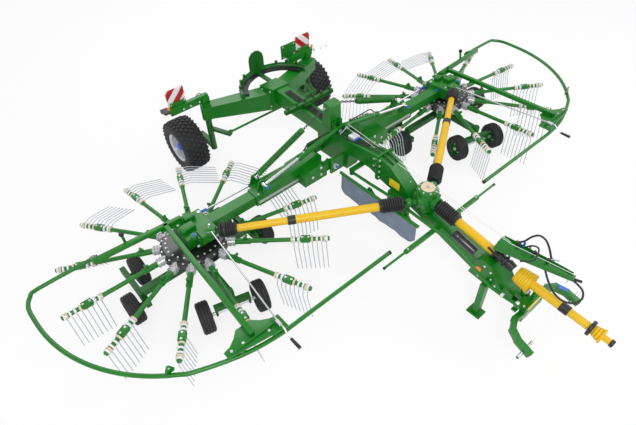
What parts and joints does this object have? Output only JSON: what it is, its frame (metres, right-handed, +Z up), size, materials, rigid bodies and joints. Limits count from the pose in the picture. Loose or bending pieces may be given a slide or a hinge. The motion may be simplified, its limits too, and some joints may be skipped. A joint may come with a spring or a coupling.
{
  "type": "twin rotor hay rake",
  "caption": "Towed hay rake: arched frame on a steered axle, folding telescoping booms with tined rotors, drive shafts and a swath curtain.",
  "frame": {"origin": "on the ground, under the middle of the machine's box", "axes": "+Z up, -Y towards the tractor, +X to the machine's left"},
  "size_m": [7.581, 5.9024, 1.43],
  "materials": {
    "green_paint": "gloss",
    "dark_green_paint": "gloss",
    "yellow_guard": "satin",
    "black_rubber": "matte",
    "tyre_rubber": "matte",
    "silver_rim": "satin",
    "chrome_rod": "polished",
    "curtain_cloth": "matte",
    "warning_board": "satin"
  },
  "bodies": {
    "frame": {"main_frame": "green_paint", "drawbar": "green_paint", "axle_beam": "green_paint", "front_arm_rack": "dark_green_paint", "rear_arm_rack": "dark_green_paint", "warning_board_right": "warning_board", "warning_board_left": "warning_board", "central_gearbox": "green_paint", "front_drive_shaft": "yellow_guard", "document_tube": "black_rubber", "hose_holder": "green_paint", "hose_1": "black_rubber", "hose_2": "black_rubber"},
    "jack": {"jack_stand": "green_paint"},
    "headstock": {"headstock": "green_paint", "input_shaft_rear": "yellow_guard"},
    "input_shaft_front": {"input_shaft_front": "yellow_guard"},
    "steering_rod": {"steering_rod": "green_paint"},
    "steering_crank": {"steering_crank": "green_paint"},
    "tie_rod": {"tie_rod": "green_paint"},
    "curtain_arms": {"curtain_arms": "green_paint"},
    "swath_curtain": {"swath_curtain": "curtain_cloth"},
    "knuckle_right": {"knuckle_right": "dark_green_paint"},
    "road_wheel_right": {"tyre_right": "tyre_rubber", "rim_right": "silver_rim"},
    "knuckle_left": {"knuckle_left": "dark_green_paint"},
    "road_wheel_left": {"tyre_left": "tyre_rubber", "rim_left": "silver_rim"},
    "boom_right": {"boom_right": "green_paint", "relief_spring_right": "green_paint"},
    "boom_arm_right": {"boom_arm_right": "green_paint", "guard_right": "green_paint", "chassis_right": "dark_green_paint"},
    "lift_cylinder_right": {"lift_cylinder_right": "green_paint"},
    "lift_rod_right": {"lift_rod_right": "chrome_rod"},
    "shaft_inner_right": {"shaft_inner_right": "yellow_guard"},
    "shaft_outer_right": {"shaft_outer_right": "yellow_guard"},
    "rotor_right": {"tine_rotor_right": "green_paint"},
    "front_axle_right": {"front_axle_right": "dark_green_paint"},
    "front_wheels_right": {"front_wheels_right": "tyre_rubber"},
    "bogie_wheel_right_1": {"bogie_wheel_right_1": "tyre_rubber"},
    "bogie_wheel_right_2": {"bogie_wheel_right_2": "tyre_rubber"},
    "bogie_wheel_right_3": {"bogie_wheel_right_3": "tyre_rubber"},
    "bogie_wheel_right_4": {"bogie_wheel_right_4": "tyre_rubber"},
    "boom_left": {"boom_left": "green_paint", "relief_spring_left": "green_paint"},
    "boom_arm_left": {"boom_arm_left": "green_paint", "guard_left": "green_paint", "chassis_left": "dark_green_paint"},
    "lift_cylinder_left": {"lift_cylinder_left": "green_paint"},
    "lift_rod_left": {"lift_rod_left": "chrome_rod"},
    "shaft_inner_left": {"shaft_inner_left": "yellow_guard"},
    "shaft_outer_left": {"shaft_outer_left": "yellow_guard"},
    "rotor_left": {"tine_rotor_left": "green_paint"},
    "front_axle_left": {"front_axle_left": "dark_green_paint"},
    "front_wheels_left": {"front_wheels_left": "tyre_rubber"},
    "bogie_wheel_left_1": {"bogie_wheel_left_1": "tyre_rubber"},
    "bogie_wheel_left_2": {"bogie_wheel_left_2": "tyre_rubber"},
    "bogie_wheel_left_3": {"bogie_wheel_left_3": "tyre_rubber"},
    "bogie_wheel_left_4": {"bogie_wheel_left_4": "tyre_rubber"}
  },
  "joints": [
    {"name": "jack_fold", "type": "hinge", "parent": "frame", "child": "jack", "pos_m": [-0.172, -1.79, 0.5], "axis": [1, 0, 0], "range_deg": [0, 60]},
    {"name": "headstock_turn", "type": "hinge", "parent": "frame", "child": "headstock", "pos_m": [0, -2.13, 0.45], "axis": [0, 0, 1], "range_deg": [-40, 40]},
    {"name": "input_shaft_slide", "type": "slide", "parent": "headstock", "child": "input_shaft_front", "axis": [0, 0.9976, 0.0698], "range_m": [0, 0.17]},
    {"name": "steering_rod_slide", "type": "slide", "parent": "frame", "child": "steering_rod", "axis": [0, 1, 0], "range_m": [-0.16923, 0.16923]},
    {"name": "steering_crank_turn", "type": "hinge", "parent": "frame", "child": "steering_crank", "pos_m": [0, 0.13, 0.85], "axis": [0, 0, 1], "range_deg": [-45.1, 45.1]},
    {"name": "tie_rod_slide", "type": "slide", "parent": "frame", "child": "tie_rod", "axis": [1, 0, 0], "range_m": [-0.079, 0.079]},
    {"name": "knuckle_turn_right", "type": "hinge", "parent": "frame", "child": "knuckle_right", "pos_m": [-0.87, 2.25, 0.5], "axis": [0, 0, 1], "range_deg": [-14.5, 14.5]},
    {"name": "road_wheel_spin_right", "type": "hinge", "parent": "knuckle_right", "child": "road_wheel_right", "pos_m": [-1.146, 2.53, 0.38], "axis": [1, 0, 0], "continuous": true},
    {"name": "knuckle_turn_left", "type": "hinge", "parent": "frame", "child": "knuckle_left", "pos_m": [0.87, 2.25, 0.5], "axis": [0, 0, 1], "range_deg": [-14.5, 14.5]},
    {"name": "road_wheel_spin_left", "type": "hinge", "parent": "knuckle_left", "child": "road_wheel_left", "pos_m": [1.146, 2.53, 0.38], "axis": [1, 0, 0], "continuous": true},
    {"name": "curtain_swing", "type": "hinge", "parent": "frame", "child": "curtain_arms", "pos_m": [-0.1453, -0.47, 0.575], "axis": [0, -1, 0], "range_deg": [0, 60]},
    {"name": "curtain_hang", "type": "hinge", "parent": "curtain_arms", "child": "swath_curtain", "pos_m": [-0.305, -0.37, 0.8], "axis": [0, 1, 0], "range_deg": [0, 61]},
    {"name": "boom_lift_right", "type": "hinge", "parent": "frame", "child": "boom_right", "pos_m": [-0.26, 0.63, 0.79], "axis": [0, 1, 0], "range_deg": [0, 75], "deforming": ["relief_spring_right"]},
    {"name": "boom_extend_right", "type": "slide", "parent": "boom_right", "child": "boom_arm_right", "axis": [-1, 0, 0], "range_m": [-0.405, 0]},
    {"name": "lift_cylinder_swing_right", "type": "hinge", "parent": "frame", "child": "lift_cylinder_right", "pos_m": [-0.05, 0.57, 1.12], "axis": [0, 1, 0], "range_deg": [0, 71.49]},
    {"name": "lift_rod_slide_right", "type": "slide", "parent": "lift_cylinder_right", "child": "lift_rod_right", "axis": [0.9819, 0, 0.1893], "range_m": [0, 0.47665]},
    {"name": "shaft_swing_right", "type": "hinge", "parent": "frame", "child": "shaft_inner_right", "pos_m": [-0.2, -0.73, 0.92], "axis": [-0.1222, 0.988, -0.094], "range_deg": [0, 79.56]},
    {"name": "shaft_slide_right", "type": "slide", "parent": "shaft_inner_right", "child": "shaft_outer_right", "axis": [0.8464, -0.532, 0.0242], "range_m": [0, 0.46]},
    {"name": "rotor_spin_right", "type": "hinge", "parent": "boom_arm_right", "child": "rotor_right", "pos_m": [-2.11, 0.63, 0.594], "axis": [0, 0.0732, 0.9973], "continuous": true},
    {"name": "front_axle_turn_right", "type": "hinge", "parent": "boom_arm_right", "child": "front_axle_right", "pos_m": [-2.14, -0.03, 0.28], "axis": [0, 0, 1], "range_deg": [-5, 35]},
    {"name": "front_wheels_spin_right", "type": "hinge", "parent": "front_axle_right", "child": "front_wheels_right", "pos_m": [-2.15035, -0.06864, 0.18], "axis": [0.9659, -0.2588, 0], "continuous": true},
    {"name": "spin_bogie_wheel_right_1", "type": "hinge", "parent": "boom_arm_right", "child": "bogie_wheel_right_1", "pos_m": [-2.68, 1.08, 0.18], "axis": [1, 0, 0], "continuous": true},
    {"name": "spin_bogie_wheel_right_2", "type": "hinge", "parent": "boom_arm_right", "child": "bogie_wheel_right_2", "pos_m": [-2.97, 0.63, 0.18], "axis": [1, 0, 0], "continuous": true},
    {"name": "spin_bogie_wheel_right_3", "type": "hinge", "parent": "boom_arm_right", "child": "bogie_wheel_right_3", "pos_m": [-1.54, 1.08, 0.18], "axis": [1, 0, 0], "continuous": true},
    {"name": "spin_bogie_wheel_right_4", "type": "hinge", "parent": "boom_arm_right", "child": "bogie_wheel_right_4", "pos_m": [-1.25, 0.63, 0.18], "axis": [1, 0, 0], "continuous": true},
    {"name": "boom_lift_left", "type": "hinge", "parent": "frame", "child": "boom_left", "pos_m": [0.26, 0.63, 0.79], "axis": [0, -1, 0], "range_deg": [0, 75], "deforming": ["relief_spring_left"]},
    {"name": "boom_extend_left", "type": "slide", "parent": "boom_left", "child": "boom_arm_left", "axis": [1, 0, 0], "range_m": [-0.405, 0]},
    {"name": "lift_cylinder_swing_left", "type": "hinge", "parent": "frame", "child": "lift_cylinder_left", "pos_m": [0.05, 0.57, 1.12], "axis": [0, -1, 0], "range_deg": [0, 71.49]},
    {"name": "lift_rod_slide_left", "type": "slide", "parent": "lift_cylinder_left", "child": "lift_rod_left", "axis": [-0.9819, 0, 0.1893], "range_m": [0, 0.47665]},
    {"name": "shaft_swing_left", "type": "hinge", "parent": "frame", "child": "shaft_inner_left", "pos_m": [0.2, -0.73, 0.92], "axis": [-0.1222, -0.988, 0.094], "range_deg": [0, 79.56]},
    {"name": "shaft_slide_left", "type": "slide", "parent": "shaft_inner_left", "child": "shaft_outer_left", "axis": [-0.8464, -0.532, 0.0242], "range_m": [0, 0.46]},
    {"name": "rotor_spin_left", "type": "hinge", "parent": "boom_arm_left", "child": "rotor_left", "pos_m": [2.11, 0.63, 0.594], "axis": [0, 0.0732, 0.9973], "continuous": true},
    {"name": "front_axle_turn_left", "type": "hinge", "parent": "boom_arm_left", "child": "front_axle_left", "pos_m": [2.08, -0.03, 0.28], "axis": [0, 0, 1], "range_deg": [-5, 35]},
    {"name": "front_wheels_spin_left", "type": "hinge", "parent": "front_axle_left", "child": "front_wheels_left", "pos_m": [2.06965, -0.06864, 0.18], "axis": [0.9659, -0.2588, 0], "continuous": true},
    {"name": "spin_bogie_wheel_left_1", "type": "hinge", "parent": "boom_arm_left", "child": "bogie_wheel_left_1", "pos_m": [2.68, 1.08, 0.18], "axis": [1, 0, 0], "continuous": true},
    {"name": "spin_bogie_wheel_left_2", "type": "hinge", "parent": "boom_arm_left", "child": "bogie_wheel_left_2", "pos_m": [2.97, 0.63, 0.18], "axis": [1, 0, 0], "continuous": true},
    {"name": "spin_bogie_wheel_left_3", "type": "hinge", "parent": "boom_arm_left", "child": "bogie_wheel_left_3", "pos_m": [1.54, 1.08, 0.18], "axis": [1, 0, 0], "continuous": true},
    {"name": "spin_bogie_wheel_left_4", "type": "hinge", "parent": "boom_arm_left", "child": "bogie_wheel_left_4", "pos_m": [1.25, 0.63, 0.18], "axis": [1, 0, 0], "continuous": true}
  ],
  "couplings": [
    {"joint": "steering_rod_slide", "follows": "headstock_turn", "m_per_rad": -0.24},
    {"joint": "steering_crank_turn", "follows": "headstock_turn", "ratio": 1.1163},
    {"joint": "tie_rod_slide", "follows": "headstock_turn", "m_per_rad": -0.112},
    {"joint": "knuckle_turn_right", "follows": "headstock_turn", "ratio": -0.35},
    {"joint": "knuckle_turn_left", "follows": "headstock_turn", "ratio": -0.35},
    {"joint": "curtain_hang", "follows": "curtain_swing", "ratio": 1},
    {"joint": "boom_extend_right", "follows": "boom_lift_right", "m_per_rad": -0.30558},
    {"joint": "lift_cylinder_swing_right", "follows": "boom_lift_right", "ratio": 0.94373},
    {"joint": "lift_rod_slide_right", "follows": "boom_lift_right", "m_per_rad": 0.36053},
    {"joint": "shaft_swing_right", "follows": "boom_lift_right", "ratio": 1.0555},
    {"joint": "shaft_slide_right", "follows": "boom_lift_right", "m_per_rad": 0.34844},
    {"joint": "boom_extend_left", "follows": "boom_lift_left", "m_per_rad": -0.30558},
    {"joint": "lift_cylinder_swing_left", "follows": "boom_lift_left", "ratio": 0.94373},
    {"joint": "lift_rod_slide_left", "follows": "boom_lift_left", "m_per_rad": 0.36053},
    {"joint": "shaft_swing_left", "follows": "boom_lift_left", "ratio": 1.0555},
    {"joint": "shaft_slide_left", "follows": "boom_lift_left", "m_per_rad": 0.34844}
  ]
}
